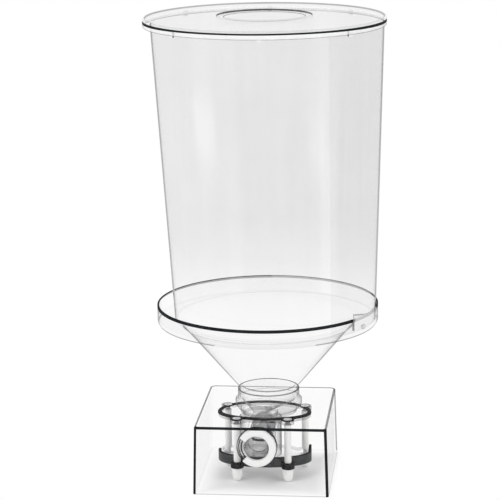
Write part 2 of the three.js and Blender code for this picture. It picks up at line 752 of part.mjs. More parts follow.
const mechanism = groupIn(machine, MECH_X, 0, 0);
add(mechanism, "disc_gasket", makeGasket(), BLACK);
add(mechanism, "upper_disc", makeUpperDisc(), CLEAR);
add(mechanism, "lower_plate", makeLowerPlate(), CLEAR);
add(mechanism, "front_bracket", makeBracket(), DARK);
add(groupIn(mechanism, LOCK_OFFSET, LOCK_Y, 0), "lock_screw", makeLockScrew(), STEEL);
for (const [place, [x, y]] of Object.entries(posts)) {
  const stand = groupIn(mechanism, x, y, 0);
  const sleeve = washer(ROD_HOLE_R, SLEEVE_R, SLEEVE_BOTTOM, SLEEVE_TOP, SMALL_ROUND);
  add(stand, `tie_rod_${place}`, makeRod(), STEEL);
  add(stand, `post_sleeve_${place}`, sleeve, WHITE);
  add(stand, `cap_nut_${place}`, makeNut(), WHITE);
}

const inletSeal = washer(SEAL_IN_R, SEAL_OUT_R, SLEEVE_TOP + GAP, THROAT_BOTTOM - GAP);
add(groupIn(mechanism, VALVE_OFFSET, 0, 0), "inlet_seal", inletSeal, SILICONE);
const valve = groupIn(mechanism, VALVE_OFFSET, 0, AXIS_Z);
valve.rotation.x = Math.PI / 2;
add(valve, "valve_body", makeValveBody(), CLEAR);
add(valve, "measuring_rotor", makeRotor(), CLEAR);
add(valve, "cup_ring", makeCupRing(), BLACK).position.y = CUP_RING_HEIGHT;
add(valve, "drive_shaft", makeShaft(), STEEL);
add(valve, "rear_bush", washer(SHAFT_BORE_R, BUSH_R, BUSH_REAR, ROTOR_REAR - GAP), WHITE);
add(valve, "front_flange", washer(CLIP_IN_R, NOSE_R, NOSE_REAR, NOSE_FRONT), CLEAR);
add(valve, "front_window", post(WINDOW_R, WINDOW_REAR, WINDOW_FRONT, MIDDLE_ROUND), CLEAR);
add(valve, "clip_ring", makeClip(), WHITE);

export default machine;
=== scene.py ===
"""Looks for the table-top volumetric filling machine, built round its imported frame. Metres, +Z up.

Turned pieces repeat the profiles of the CAD solids in millimetres, with smooth rounds. A part is its
points, its faces, and a look for each face: the place of its finish in the piece's list of finishes."""

import bmesh
import bpy
import numpy as np
from mathutils import Matrix, Vector


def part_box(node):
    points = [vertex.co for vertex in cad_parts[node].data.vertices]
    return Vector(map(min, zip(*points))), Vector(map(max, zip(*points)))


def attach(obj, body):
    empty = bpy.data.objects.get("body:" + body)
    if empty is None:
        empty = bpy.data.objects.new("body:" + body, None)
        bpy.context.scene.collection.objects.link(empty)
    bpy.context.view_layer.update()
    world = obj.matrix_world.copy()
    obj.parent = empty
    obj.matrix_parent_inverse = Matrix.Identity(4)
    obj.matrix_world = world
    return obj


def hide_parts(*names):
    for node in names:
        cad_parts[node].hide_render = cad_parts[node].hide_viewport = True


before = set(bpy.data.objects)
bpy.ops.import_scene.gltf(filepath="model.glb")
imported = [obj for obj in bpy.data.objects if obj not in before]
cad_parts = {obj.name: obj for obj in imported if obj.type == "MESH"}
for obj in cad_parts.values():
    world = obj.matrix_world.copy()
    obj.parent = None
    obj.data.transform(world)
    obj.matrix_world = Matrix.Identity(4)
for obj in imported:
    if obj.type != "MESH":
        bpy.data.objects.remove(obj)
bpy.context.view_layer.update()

MM = 0.001
TAU = 2 * np.pi

# Facets round a turned piece, the gap below which points are one, and the angle of a sharp edge.
LARGE = 240
SMALL = 96
SAME_POINT = 2e-6
SHARP = np.radians(32)

# Camera of the photograph.
VIEW_TARGET = Vector((-0.0178, -0.0015, 0.2449))
VIEW_DISTANCE = 2.2006
VIEW_YAW = np.radians(6.06)
VIEW_DOWN = np.radians(13.24)
VIEW_ROLL = np.radians(-0.77)
VIEW_LENS = 151.2
VIEW_SENSOR = 36

turn = (
    Matrix.Rotation(VIEW_YAW, 4, "Z")
    @ Matrix.Rotation(np.pi / 2 - VIEW_DOWN, 4, "X")
    @ Matrix.Rotation(VIEW_ROLL, 4, "Z")
)
camera_data = bpy.data.cameras.new("camera")
camera_data.lens = VIEW_LENS
camera_data.sensor_width = VIEW_SENSOR
camera_data.clip_end = 50
camera = bpy.data.objects.new("camera", camera_data)
camera.matrix_world = Matrix.Translation(VIEW_TARGET + turn.to_3x3() @ Vector((0, 0, VIEW_DISTANCE))) @ turn
bpy.context.scene.collection.objects.link(camera)
bpy.context.scene.camera = camera
bpy.context.scene.view_settings.view_transform = "Standard"
bpy.context.scene.cycles.transparent_max_bounces = 64
bpy.context.scene.cycles.max_bounces = 16


class Wire:
    """A socket of a finish. Arithmetic on it adds Math nodes."""

    def __init__(self, finish, socket):
        self.finish = finish
        self.socket = socket

    def math(self, operation, *values):
        return self.finish.add("ShaderNodeMath", "Value", {"operation": operation}, dict(enumerate(values)))

    def __add__(self, other):
        return self.math("ADD", self, other)

    __radd__ = __add__

    def __sub__(self, other):
        return self.math("SUBTRACT", self, other)

    def __rsub__(self, other):
        return self.math("SUBTRACT", other, self)

    def __mul__(self, other):
        return self.math("MULTIPLY", self, other)

    __rmul__ = __mul__

    def __truediv__(self, other):
        return self.math("DIVIDE", self, other)

    def __rtruediv__(self, other):
        return self.math("DIVIDE", other, self)

    def __pow__(self, other):
        return self.math("POWER", self, other)

    def __abs__(self):
        return self.math("ABSOLUTE", self)

    def limited(self, low=0.0, high=1.0):
        return self.math("MINIMUM", self.math("MAXIMUM", self, low), high)


class Finish:
    """A node tree and the one method that adds nodes to it."""

    def __init__(self, owner):
        owner.use_nodes = True
        self.owner = owner
        self.tree = owner.node_tree
        self.tree.nodes.clear()

    def add(self, kind, output, settings, inputs):
        node = self.tree.nodes.new(kind)
        for name, value in settings.items():
            setattr(node, name, value)
        for name, value in inputs.items():
            if isinstance(value, Wire):
                self.tree.links.new(value.socket, node.inputs[name])
            else:
                node.inputs[name].default_value = value
        return Wire(self, node.outputs[output]) if output is not None else node

    def place(self):
        return self.add("ShaderNodeTexCoord", "Object", {}, {})

    def along(self, axis):
        return self.add("ShaderNodeSeparateXYZ", axis, {}, {"Vector": self.place()})

    def noise(self, scale, detail=3.0, stretch=(1, 1, 1)):
        where = self.add("ShaderNodeMapping", "Vector", {}, {"Vector": self.place(), "Scale": stretch})
        inputs = {"Vector": where, "Scale": scale, "Detail": detail}
        return self.add("ShaderNodeTexNoise", "Fac", {}, inputs)

    def blend(self, share, first, second):
        return self.add("ShaderNodeMix", 2, {"data_type": "RGBA"}, {0: share, 6: first, 7: second})

    def mix(self, share, first, second):
        return self.add("ShaderNodeMixShader", 0, {}, {0: share, 1: first, 2: second})

    def facing(self):
        return self.add("ShaderNodeLayerWeight", "Facing", {}, {"Blend": 0.5})

    def bump(self, height, strength, distance):
        inputs = {"Height": height, "Strength": strength, "Distance": distance}
        return self.add("ShaderNodeBump", 0, {}, inputs)

    def principled(self, inputs):
        return self.add("ShaderNodeBsdfPrincipled", 0, {}, inputs)

    def end(self, shader):
        of_world = isinstance(self.owner, bpy.types.World)
        kind = "ShaderNodeOutputWorld" if of_world else "ShaderNodeOutputMaterial"
        self.add(kind, None, {}, {"Surface": shader})
        return self.owner


def new_finish(name):
    return Finish(bpy.data.materials.new(name))


def grey(value):
    return (value, value, value, 1.0)


# Clear acrylic: shares of even haze, clouds and upright streaks, and the sizes of both patterns.
HAZE_EVEN, HAZE_CLOUDS, HAZE_STREAKS = 0.55, 0.5, 0.4
CLOUD_SCALE, STREAK_SCALE = 14.0, 90.0
STREAK_STRETCH = (1, 1, 0.04)
CLOUD_TINT = 0.94
GRAIN_SCALE, GRAIN_DEPTH = 700.0, 0.06
# What is left of the haze low down and at the far left, where the left side is painted lighter, and how
# steeply each change sets in.
LOW_HAZE = 0.12
LEFT_HAZE, LEFT_END, LEFT_STEEP = 0.80, -0.075, 14
SEAM_STEEP, FRONT_STEEP = 700, 200


def clear(name, tint, body, edge, power, shine, roughness, thin=None, lap=None, shade=0.0):
    """Clear acrylic: nearly all seen through, darker where it is looked along, with a soft gloss.

    Opacity is body * (even + clouds + upright streaks) + edge * facing ** power. Where thin gives a low
    and a high height, the body's haze fades out from the high one down to the low one. Where lap gives a
    place along X and a share, the front's haze is that much stronger to its right, a painted shade, and a
    fifth weaker at the far left, a painted lighter side. Shade is how much light a thick piece keeps from
    what lies under it."""
    f = new_finish(name)
    clouds = f.noise(CLOUD_SCALE, 2.0)
    streaks = f.noise(STREAK_SCALE, 2.0, STREAK_STRETCH)
    haze = body * (HAZE_EVEN + HAZE_CLOUDS * clouds + HAZE_STREAKS * streaks)
    if thin:
        low, high = thin
        share = ((f.along("Z") - low) / (high - low)).limited()
        haze = haze * (LOW_HAZE + (1 - LOW_HAZE) * share)
    if lap:
        seam, extra = lap
        sideways = f.along("X")
        # On the front, right of the seam, the haze is a painted shade; at the far left it is painted
        # lighter.
        right_shade = ((sideways - seam) * SEAM_STEEP).limited() * (f.along("Y") * -FRONT_STEEP).limited()
        share = ((sideways - LEFT_END) * LEFT_STEEP).limited()
        haze = haze * (LEFT_HAZE + (1 - LEFT_HAZE) * share) + body * extra * right_shade
    opacity = haze + edge * f.facing() ** power
    if shade:
        opacity = opacity + shade * f.add("ShaderNodeLightPath", "Is Shadow Ray", {}, {})
    rough = roughness + GRAIN_DEPTH * f.noise(GRAIN_SCALE, 2.0)
    body_shader = f.principled(
        {
            "Base Color": f.blend(clouds, grey(tint * CLOUD_TINT), grey(tint)),
            "Roughness": rough,
            "IOR": 1.1,
            "Alpha": opacity.limited(),
        }
    )
    gloss = f.add("ShaderNodeBsdfGlossy", 0, {}, {"Color": grey(1.0), "Roughness": rough})
    return f.end(f.mix(shine * (0.8 + 0.4 * clouds), body_shader, gloss))


# Dark and lighter colours of the painted reflection in cut edges.
REFLECTION_DARK, REFLECTION_LIGHT = (0.008, 0.010, 0.011, 1), (0.024, 0.027, 0.029, 1)


def painted_edge_reflection(name, near, far):
    """Polished cut edge of clear sheet, painted dark as a reflection of dark surroundings. Its darkness is
    near from outside and far from behind, and it changes a little in long waves."""
    f = new_finish(name)
    behind = f.add("ShaderNodeNewGeometry", "Backfacing", {}, {})
    wave = f.noise(60.0, 2.0)
    opacity = ((near + (far - near) * behind) * (0.85 + 0.3 * wave)).limited()
    shader = f.principled(
        {
            "Base Color": f.blend(wave, REFLECTION_DARK, REFLECTION_LIGHT),
            "Roughness": 0.35 + 0.15 * wave,
            "IOR": 1.04,
            "Alpha": opacity,
        }
    )
    return f.end(shader)


PATCH_SHARE = 0.12
ROUGH_SPREAD = 0.12
RELIEF = 0.25


def solid(name, dark, light, roughness, grain, bump, metal=0.0, stretch=(1, 1, 1), index=1.45):
    """Finish whose colour follows large patches, and whose roughness and fine relief follow a noise of
    its own grain."""
    f = new_finish(name)
    patches = f.noise(grain * PATCH_SHARE, 2.0)
    fine = f.noise(grain, 3.0, stretch)
    shader = f.principled(
        {
            "Base Color": f.blend(patches, dark, light),
            "Roughness": (roughness - ROUGH_SPREAD / 2 + ROUGH_SPREAD * fine).limited(),
            "Metallic": metal,
            "IOR": index,
            "Normal": f.bump(fine, RELIEF, bump),
        }
    )
    return f.end(shader)


# Heights between which the hopper's haze sets in, and the seam's place along X with the painted shade to
# its right.
HOPPER_FADE = (0.182, 0.258)
SEAM_SHADE = (0.0715, 0.75)

# Clear finishes: tint, haze, edge, the edge's power, gloss, roughness.
lid_sheet = clear("lid_sheet", 0.62, 0.05, 0.03, 4.0, 0.03, 0.1)
# Pale sheet of the lid's skirt; on groove walls and tab ends it is a painted highlight.
skirt_and_highlight = clear("skirt_and_highlight", 0.97, 0.42, 0.0, 4.0, 0.02, 0.1)
hopper_out = clear("hopper_outside", 0.17, 0.088, 14.0, 22.0, 0.022, 0.15, HOPPER_FADE, SEAM_SHADE)
hopper_in = clear("hopper_inside", 0.26, 0.060, 0.05, 9.0, 0.008, 0.16, HOPPER_FADE)
tray_out = clear("tray_outside", 0.17, 0.02, 12.0, 20.0, 0.015, 0.14)
tray_in = clear("tray_inside", 0.30, 0.010, 0.10, 5.0, 0.008, 0.16)
collar_clear = clear("collar_clear", 0.14, 0.018, 1.7, 5.0, 0.012, 0.12)
collar_in = clear("collar_inside", 0.25, 0.010, 0.4, 8.0, 0.006, 0.14)
box_sheet = clear("box_sheet", 0.35, 0.012, 0.6, 18.0, 0.006, 0.12)
flat_clear = clear("flat_clear", 0.30, 0.020, 0.9, 14.0, 0.010, 0.12, shade=0.22)
port_clear = clear("port_clear", 0.12, 0.020, 1.5, 4.5, 0.010, 0.12)
thick_clear = clear("thick_clear", 0.08, 0.014, 1.25, 2.3, 0.010, 0.12, shade=0.3)
barrel_clear = clear("barrel_clear", 0.12, 0.014, 0.9, 9.0, 0.010, 0.12, shade=0.15)
bore_clear = clear("bore_clear", 0.12, 0.012, 1.1, 8.0, 0.006, 0.14)
window_look = clear("window_clear", 0.10, 0.28, 0.4, 8.0, 0.006, 0.14)
silicone = clear("clear_silicone", 0.75, 0.03, 0.05, 3.0, 0.006, 0.3)

# Cut edges painted dark as reflections: darkness from outside and from behind.
dark_edge = painted_edge_reflection("dark_edge", 1.15, 0.62)
lid_edge = painted_edge_reflection("lid_edge", 1.15, 0.08)
rim_edge = painted_edge_reflection("rim_edge", 1.15, 0.60)
bead_edge = painted_edge_reflection("bead_edge", 0.50, 0.06)
far_edge = painted_edge_reflection("far_edge", 0.10, 0.88)
socket_edge = painted_edge_reflection("socket_edge", 0.70, 0.62)
nose_edge = painted_edge_reflection("nose_edge", 0.92, 0.70)
soft_edge = painted_edge_reflection("soft_edge", 0.58, 0.50)
thin_edge = painted_edge_reflection("thin_edge", 0.34, 0.26)
faint_edge = painted_edge_reflection("faint_edge", 0.05, 0.05)

# Solid finishes: two colours, roughness, grain and depth of relief.
white = solid("white_plastic", (0.82, 0.82, 0.81, 1), (0.90, 0.90, 0.89, 1), 0.34, 260, 0.00004)
dark = solid(
    "dark_plastic", (0.010, 0.011, 0.012, 1), (0.075, 0.078, 0.08, 1), 0.42, 1500, 0.00012, index=1.2
)
rubber = solid(
    "seal_rubber", (0.006, 0.006, 0.007, 1), (0.014, 0.014, 0.015, 1), 0.62, 500, 0.00004, index=1.12
)
steel = solid(
    "turned_steel", (0.58, 0.59, 0.61, 1), (0.74, 0.75, 0.76, 1), 0.30, 300, 0.00002, 1.0, (1, 1, 14)
)
knob_steel = solid("plated_steel", (0.20, 0.21, 0.22, 1), (0.38, 0.39, 0.40, 1), 0.24, 300, 0.00002, 1.0)


def middle(node):
    """Middle of a CAD node's box, in metres."""
    return np.array([list(corner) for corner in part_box(node)]).mean(axis=0)


def corner(r, z, turn=0.0, rim=0, run=0, shift=0.0):
    """One corner of a profile in millimetres: radius, height, how far its round reaches along both
    runs, the look of that round, the look of the run after it, and a sideways shift of the centre."""
    return (r, z, shift, turn, rim, run)


def rounded(corners, steps=4):
    """Profile through corners, as points of [radius, height, shift] in metres and a look for each
    stretch.

    A round is the quadratic curve (1-s)^2 a + 2s(1-s) c + s^2 b from a before corner c to b after it."""
    table = np.array(corners, float)
    place = table[:, :3] * MM
    reach = table[:, 3:4] * MM

    def towards(other):
        way = other - place
        return place + reach * way / np.maximum(np.linalg.norm(way, axis=1, keepdims=True), 1e-9)

    before = towards(np.roll(place, 1, axis=0))[:, None]
    after = towards(np.roll(place, -1, axis=0))[:, None]
    s = np.linspace(0, 1, steps + 1)[None, :, None]
    points = (1 - s) ** 2 * before + 2 * s * (1 - s) * place[:, None] + s**2 * after
    looks = np.concatenate([np.repeat(table[:, 4:5], steps, axis=1), table[:, 5:6]], axis=1)
    return points.reshape(-1, 3), looks.reshape(-1).astype(int)


def numbered(rows, columns):
    """Numbers of the points in a grid."""
    return np.arange(rows * columns).reshape(rows, columns)


def net(index):
    """Quads between neighbours in a grid of point numbers, closed in both directions."""
    beside = np.roll(index, -1, 1)
    return np.stack([index, beside, np.roll(beside, -1, 0), np.roll(index, -1, 0)], axis=-1)


def end_faces(index):
    """Faces that close both ends of a grid whose rows run from end to end."""
    return [index[:, 0].tolist(), index[::-1, -1].tolist()]


def grid_part(points, looks, close_u, close_v):
    """Quads over a grid of points (u, v, xyz); a look per row of u."""
    rows, columns = points.shape[:2]
    quads = net(numbered(rows, columns))
    quads = quads[: rows if close_u else rows - 1, : columns if close_v else columns - 1]
    face_looks = np.repeat(looks[: quads.shape[0]], quads.shape[1])
    return points.reshape(-1, 3), quads.reshape(-1, 4).tolist(), face_looks.tolist()


def path_angles(segments, start, sweep):
    """Angles along a round path, in radians, and whether it goes all the way round."""
    whole = sweep >= 360
    count = segments if whole else int(segments * sweep / 360) + 1
    return np.radians(start + sweep * np.arange(count) / (count if whole else count - 1)), whole


def carried(corners, place, angle, whole, closed=True, cap_look=0):
    """Profile carried along a path. place turns radius, height, shift and the path's angles into
    points. A path with two ends is closed by flat ends."""
    profile, looks = rounded(corners)
    r, z, shift = profile[:, :1], profile[:, 1:2], profile[:, 2:]
    points = np.stack(np.broadcast_arrays(*place(r, z, shift, angle)), axis=-1)
    verts, faces, face_looks = grid_part(points, looks, closed, whole)
    if not whole:
        faces += end_faces(numbered(*points.shape[:2]))
        face_looks += [cap_look, cap_look]
    return verts, faces, face_looks


def turned(corners, segments=SMALL, closed=False, at=(0, 0), start=0.0, sweep=360.0, cap_look=0):
    """Profile turned about the upright line through at, in metres: x is at + shift + r cos(t), y is
    at + r sin(t)."""
    angle, whole = path_angles(segments, start, sweep)

    def place(r, z, shift, t):
        return at[0] + shift + r * np.cos(t), at[1] + r * np.sin(t), z + 0 * t

    return carried(corners, place, angle, whole, closed, cap_look)


def joined(*parts):
    """Several parts in one."""
    verts, faces, looks = [], [], []
    count = 0
    for part_verts, part_faces, part_looks in parts:
        verts.append(part_verts)
        faces += [[index + count for index in face] for face in part_faces]
        looks += part_looks
        count += len(part_verts)
    return np.concatenate(verts), faces, looks


def mesh_of(name, part):
    """Mesh of a part: doubles merged, faces outwards, smooth except at sharp edges."""
    verts, faces, looks = part
    mesh = bpy.data.meshes.new(name)
    mesh.from_pydata(verts.tolist(), [], faces)
    mesh.polygons.foreach_set("material_index", looks)
    work = bmesh.new()
    work.from_mesh(mesh)
    bmesh.ops.remove_doubles(work, verts=work.verts, dist=SAME_POINT)
    bmesh.ops.recalc_face_normals(work, faces=work.faces)
    work.to_mesh(mesh)
    work.free()
    mesh.polygons.foreach_set("use_smooth", np.ones(len(mesh.polygons), bool))
    mesh.set_sharp_from_angle(angle=SHARP)
    return mesh


def part_of(mesh):
    """Part with a mesh's points and faces."""
    verts = np.empty(len(mesh.vertices) * 3)
    mesh.vertices.foreach_get("co", verts)
    faces = [list(polygon.vertices) for polygon in mesh.polygons]
    looks = [polygon.material_index for polygon in mesh.polygons]
    return verts.reshape(-1, 3), faces, looks


def evaluated(holder):
    """Part with what an object shows once its modifiers and curves are worked out."""
    graph = bpy.context.evaluated_depsgraph_get()
    mesh = bpy.data.meshes.new_from_object(holder.evaluated_get(graph))
    part = part_of(mesh)
    bpy.data.meshes.remove(mesh)
    return part


def carved(base, *steps):
    """Part after exact booleans. Each step is an operation and the part that it joins or cuts."""
    holder = bpy.data.objects.new("carving", mesh_of("carving", base))
    bpy.context.scene.collection.objects.link(holder)
    helpers = []
    for operation, part in steps:
        helper = bpy.data.objects.new("tool", mesh_of("tool", part))
        bpy.context.scene.collection.objects.link(helper)
        modifier = holder.modifiers.new(operation.lower(), "BOOLEAN")
        modifier.operation = operation
        modifier.solver = "EXACT"
        modifier.object = helper
        helpers.append(helper)
    part = evaluated(holder)
    for helper in [holder, *helpers]:
        bpy.data.objects.remove(helper)
    return part


def plate(outlines, low, high, bevel):
    """Flat plate between two heights in metres. The first outline is its edge and the others are
    holes; all edges are bevelled. Flat faces get look 0 and edges look 1."""
    curve = bpy.data.curves.new("plate", "CURVE")
    curve.dimensions = "2D"
    curve.fill_mode = "BOTH"
    curve.extrude = (high - low) / 2 - bevel
    curve.bevel_depth = bevel
    curve.bevel_resolution = 2
    curve.offset = -bevel
    for outline in outlines:
        spline = curve.splines.new("POLY")
        spline.points.add(len(outline) - 1)
        flat = np.column_stack([outline, np.zeros(len(outline)), np.ones(len(outline))])
        spline.points.foreach_set("co", flat.reshape(-1))
        spline.use_cyclic_u = True
    holder = bpy.data.objects.new("plate", curve)
    bpy.context.scene.collection.objects.link(holder)
    verts, faces, _ = evaluated(holder)
    bpy.data.objects.remove(holder)
    looks = [int(np.ptp(verts[face, 2]) > 1e-6) for face in faces]
    return verts + np.array([0, 0, (low + high) / 2]), faces, looks


def circle(r, at=(0, 0), count=64):
    """Outline of a circle, in metres."""
    angle = np.arange(count) * TAU / count
    return np.column_stack([at[0] + r * np.cos(angle), at[1] + r * np.sin(angle)])


def show(name, part, body, slot, looks, *nodes):
    """Adds a finished piece that rides on a body and stands for its CAD nodes."""
    mesh = mesh_of(name, part)
    for look in looks:
        mesh.materials.append(look)
    piece = bpy.data.objects.new(name, mesh)
    bpy.context.scene.collection.objects.link(piece)
    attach(piece, body)
    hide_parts(*nodes)


# Facts that several pieces share: places and the oval's sizes in metres, the others in millimetres.
POST_NAMES = ("front_left", "front_right", "rear_left", "rear_right")
POSTS = np.array([middle(f"post_sleeve_{place}")[:2] for place in POST_NAMES])
FRONT_POSTS, REAR_POSTS = POSTS[:2], POSTS[2:]
VALVE = np.array([middle("inlet_seal")[0], 0, middle("front_flange")[2]])
PLAN_SIDE, PLAN_FRONT, PLAN_REAR = 50 * MM, 27 * MM, 38 * MM
PLAN_MIDDLE = np.array([POSTS[:, 0].mean(), -2 * MM])
BOX_HEIGHT = 73
LOBE_R = 7
ROD_HOLE_R = 2.6
PORT_R = 7.4
OUTLET_R = 9
SHAFT_BORE_R = 4.12


def along_valve(part):
    """Moves a part made about Z, with Y up, onto the valve's axis: Z becomes the way to the front."""
    verts, faces, looks = part
    x, y, z = verts.T
    return np.column_stack([x + VALVE[0], -z, y + VALVE[2]]), faces, looks


def bar(r, low, high, at=(0, 0), rim=0.0, look=0, segments=SMALL):
    """Upright round bar between two heights, with rounded rims."""
    return turned(
        [
            corner(0, low, run=look),
            corner(r, low, rim, look, look),
            corner(r, high, rim, look, look),
            corner(0, high, run=look),
        ],
        segments,
        at=at,
    )


def bars(r, low, high, places, rim=0.0, look=0):
    """The same upright bar at several places."""
    return joined(*[bar(r, low, high, place, rim, look, 48) for place in places])


def plan(inset, lobe_r, lobes, count=480):
    """Outline of the mechanism from above, drawn in by an inset, with round lobes, in metres. Along each
    direction it is the farthest of the oval, 1 / sqrt((cos / side)^2 + (sin / depth)^2), and each
    lobe's far side, d cos + sqrt(r^2 - (d sin)^2)."""
    angle = np.arange(count) * TAU / count
    depth = np.where(np.sin(angle) > 0, PLAN_REAR, PLAN_FRONT) - inset
    radius = 1 / np.hypot(np.cos(angle) / (PLAN_SIDE - inset), np.sin(angle) / depth)
    for lobe in lobes:
        away = np.array(lobe) - PLAN_MIDDLE
        off = angle - np.arctan2(away[1], away[0])
        inside = lobe_r**2 - (away @ away) * np.sin(off) ** 2
        reach = np.hypot(*away) * np.cos(off) + np.sqrt(np.maximum(inside, 0))
        radius = np.maximum(radius, np.where((inside > 0) & (np.cos(off) > 0), reach, 0))
    return PLAN_MIDDLE + np.column_stack([radius * np.cos(angle), radius * np.sin(angle)])


def round_plan(corners, start=0.0, sweep=360.0, lift=None):
    """Section of inset and height carried round the mechanism's oval: x is (side - inset) cos(t) and
    y is (depth - inset) sin(t). lift gives what is added to each height."""
    angle, whole = path_angles(288, start, sweep)

    def place(inset, z, _, t):
        depth = np.where(np.sin(t) > 0, PLAN_REAR, PLAN_FRONT) - inset
        return (
            PLAN_MIDDLE[0] + (PLAN_SIDE - inset) * np.cos(t),
            PLAN_MIDDLE[1] + depth * np.sin(t),
            z + (lift(z, t) if lift else 0 * t),
        )

    return carried(corners, place, angle, whole)


# Lid: plate with a raised bead, skirt, tabs and dished boss. The rim's band and the boss's far edge are
# cut edges painted dark as reflections.
LID_R = 125
LINE_LOW = 486.3
LINE_DROP = 1.4
lid = turned(
    [
        corner(0, 484.6),
        corner(123.2, 484.6, 0.5, 3, 3),
        corner(123.2, 481.8, 0.3, 2, 2),
        corner(LID_R, 481.8, 0.4, 2, 3),
        corner(LID_R, LINE_LOW, run=1),
        corner(LID_R, 488.1, run=5),
        corner(LID_R, 490.4, 1.1, 5, 5),
        corner(122, 490.4, 1.1, 6, 6),
        corner(122, 488, 0.8, 5),
        corner(49.2, 488, 0.3, 5, 5),
        corner(49.2, 490.0, 0, 4, 4),
        corner(49.2, 492, 0.8, 4),
        corner(44.0, 492, 0.6, 5, 5),
        corner(42, 489.6, 0.5, 2),
        corner(0, 489.6),
    ],
    LARGE,
)


def wider_at_sides(part):
    """The rim's painted dark band, a reflection, is wider towards the left and right: its lower edge drops
    by
    LINE_DROP * |cos(t)|^3."""
    verts, faces, looks = part
    low = np.abs(verts[:, 2] - LINE_LOW * MM) < 0.01 * MM
    verts[:, 2] -= low * LINE_DROP * MM * np.abs(verts[:, 0] / (LID_R * MM)) ** 3
    return verts, faces, looks


TAB_COUNT = 8
TAB_FIRST = -87
TAB_SWEEP = 2.3
# Tabs whose ends are painted dark as reflections; the other ends are pale, and on the tab in front this is
# a painted highlight.
TABS_WITH_PAINTED_DARK_ENDS = (1, 7)
TAB_SECTION = [
    corner(123.3, 480.2, 0.2, 3, 3),
    corner(124.9, 480.2, 0.2, 3, 3),
    corner(124.9, 485.6, 0.2, 3, 3),
    corner(123.3, 485.6, 0.2, 3, 3),
]
tabs = [
    turned(
        TAB_SECTION,
        LARGE * 6,
        True,
        start=TAB_FIRST - TAB_SWEEP / 2 + k * 360 / TAB_COUNT,
        sweep=TAB_SWEEP,
        cap_look=1 if k in TABS_WITH_PAINTED_DARK_ENDS else 3,
    )
    for k in range(TAB_COUNT)
]
show(
    "lid_shell",
    joined(wider_at_sides(lid), *tabs),
    "cover_lid",
    "clear_plastic",
    [lid_sheet, lid_edge, soft_edge, skirt_and_highlight, far_edge, faint_edge, bead_edge],
    "lid",
)


def hopper_wall():
    """Slanting cone of sheet. Radius and centre run straight from bottom to top. The seam adds a lap to
    the outer face, extra * min(1, 2 (1 - |angle - seam| / half)), which ends just below the top."""
    bottom_r, top_r, thick = 105.6, 120.0, 3.0
    bottom_x, top_x = 8.0, 2.7
    bottom, top = 173.3, 484.3
    seam, half, extra, end_steep = -37.0, 2.2, 1.2, 40
    verts, faces, looks = turned(
        [
            corner(bottom_r, bottom, 0.4, 2, shift=bottom_x),
            corner(top_r, top, 0.4, 2, 2, shift=top_x),
            corner(top_r - thick, top, 0.4, 2, 1, shift=top_x),
            corner(bottom_r - thick, bottom, 0.4, 2, 2, shift=bottom_x),
        ],
        LARGE * 2,
        True,
    )
    height = (verts[:, 2] / MM - bottom) / (top - bottom)
    centre = (bottom_x + (top_x - bottom_x) * height) * MM
    radius = np.hypot(verts[:, 0] - centre, verts[:, 1])
    middle_r = (bottom_r + (top_r - bottom_r) * height - thick / 2) * MM
    angle = np.degrees(np.arctan2(verts[:, 1], verts[:, 0] - centre))
    near = np.clip(1 - np.abs(angle - seam) / half, 0, 1)
    ending = np.clip((1 - height) * end_steep, 0, 1)
    lap = extra * MM * np.minimum(1, 2 * near) * (radius > middle_r) * ending
    verts[:, 0] += lap * np.cos(np.radians(angle))
    verts[:, 1] += lap * np.sin(np.radians(angle))
    return verts, faces, looks


show(
    "hopper_sheet",
    hopper_wall(),
    "hopper",
    "clear_plastic",
    [hopper_out, hopper_in, faint_edge],
    "hopper_wall",
)


def swung(part, degrees):
    """Turns a part about the upright axis."""
    verts, faces, looks = part
    t = np.radians(degrees)
    spin = np.array([[np.cos(t), np.sin(t), 0], [-np.sin(t), np.cos(t), 0], [0, 0, 1]])
    return verts @ spin, faces, looks


def slab(low, high, look=0):
    """Block between two corners in millimetres, with finely bevelled edges."""
    (x0, y0, z0), (x1, y1, z1) = np.array([low, high], float) * MM
    outline = np.array([(x0, y0), (x1, y0), (x1, y1), (x0, y1)])
    verts, faces, looks = plate([outline], z0, z1, 0.1 * MM)
    return verts, faces, [look] * len(looks)


# Funnel: tray, cone and neck. The tray's rim is slit beside a sloping lip at the front right, and a
# screw goes through it beside the slit.
TRAY_R = 116.2
NOTCH_DEG = -35
RIM_SCREW_DEG = -27.5
RIM_SCREW_Z = 178
funnel = turned(
    [
        corner(28.4, 84.6, 0.3, 2, 2),
        corner(30.6, 84.6, 0.5, 2, 0),
        corner(30.6, 96.8, 3.0),
        corner(91.1, 168.8, 3.0),
        corner(112.8, 168.8, 1.0),
        corner(115.0, 169.7, 0.4, 4, 4),
        corner(115.9, 171.3, 0.4, 2, 2),
        corner(TRAY_R, 172.4, 0.4, 2),
        corner(TRAY_R, 186.0, run=3),
        corner(TRAY_R, 189.0, 0.6, 3, 3),
        corner(114.2, 189.0, 0.6, 3, 1),
        corner(114.2, 173, 1.2, 1, 1),
        corner(90.7, 173, 2.0, 1, 1),
        corner(28.4, 98.8, 0.9, 6, 1),
    ],
    LARGE,
    True,
)


def softened(part):
    """Looks by angle, which set where the painted dark reflections in the edges show. The rim's painted
    dark band, look 3, is a thin one from the slit to the right-hand side, look 5, and a softer one at the
    back right, look 4. The tray's lower edge, look 4, is faint in the middle of the front and at the back,
    look 2.
    The bore's upper edge, look 6, shows at the front only."""
    front, right, back, back_right = (-113, -61), (NOTCH_DEG, -8), (10, 170), (20, 93)
    verts, faces, looks = part
    first = np.array([face[0] for face in faces])
    angle = np.degrees(np.arctan2(verts[first, 1], verts[first, 0]))
    looks = np.array(looks)

    def within(ends):
        return (angle > ends[0]) & (angle < ends[1])

    looks[(looks == 3) & within(right)] = 5
    looks[(looks == 4) & (within(front) | within(back))] = 2
    looks[(looks == 3) & within(back_right)] = 4
    looks[(looks == 6) & (angle > 0)] = 1
    return verts, faces, looks.tolist()


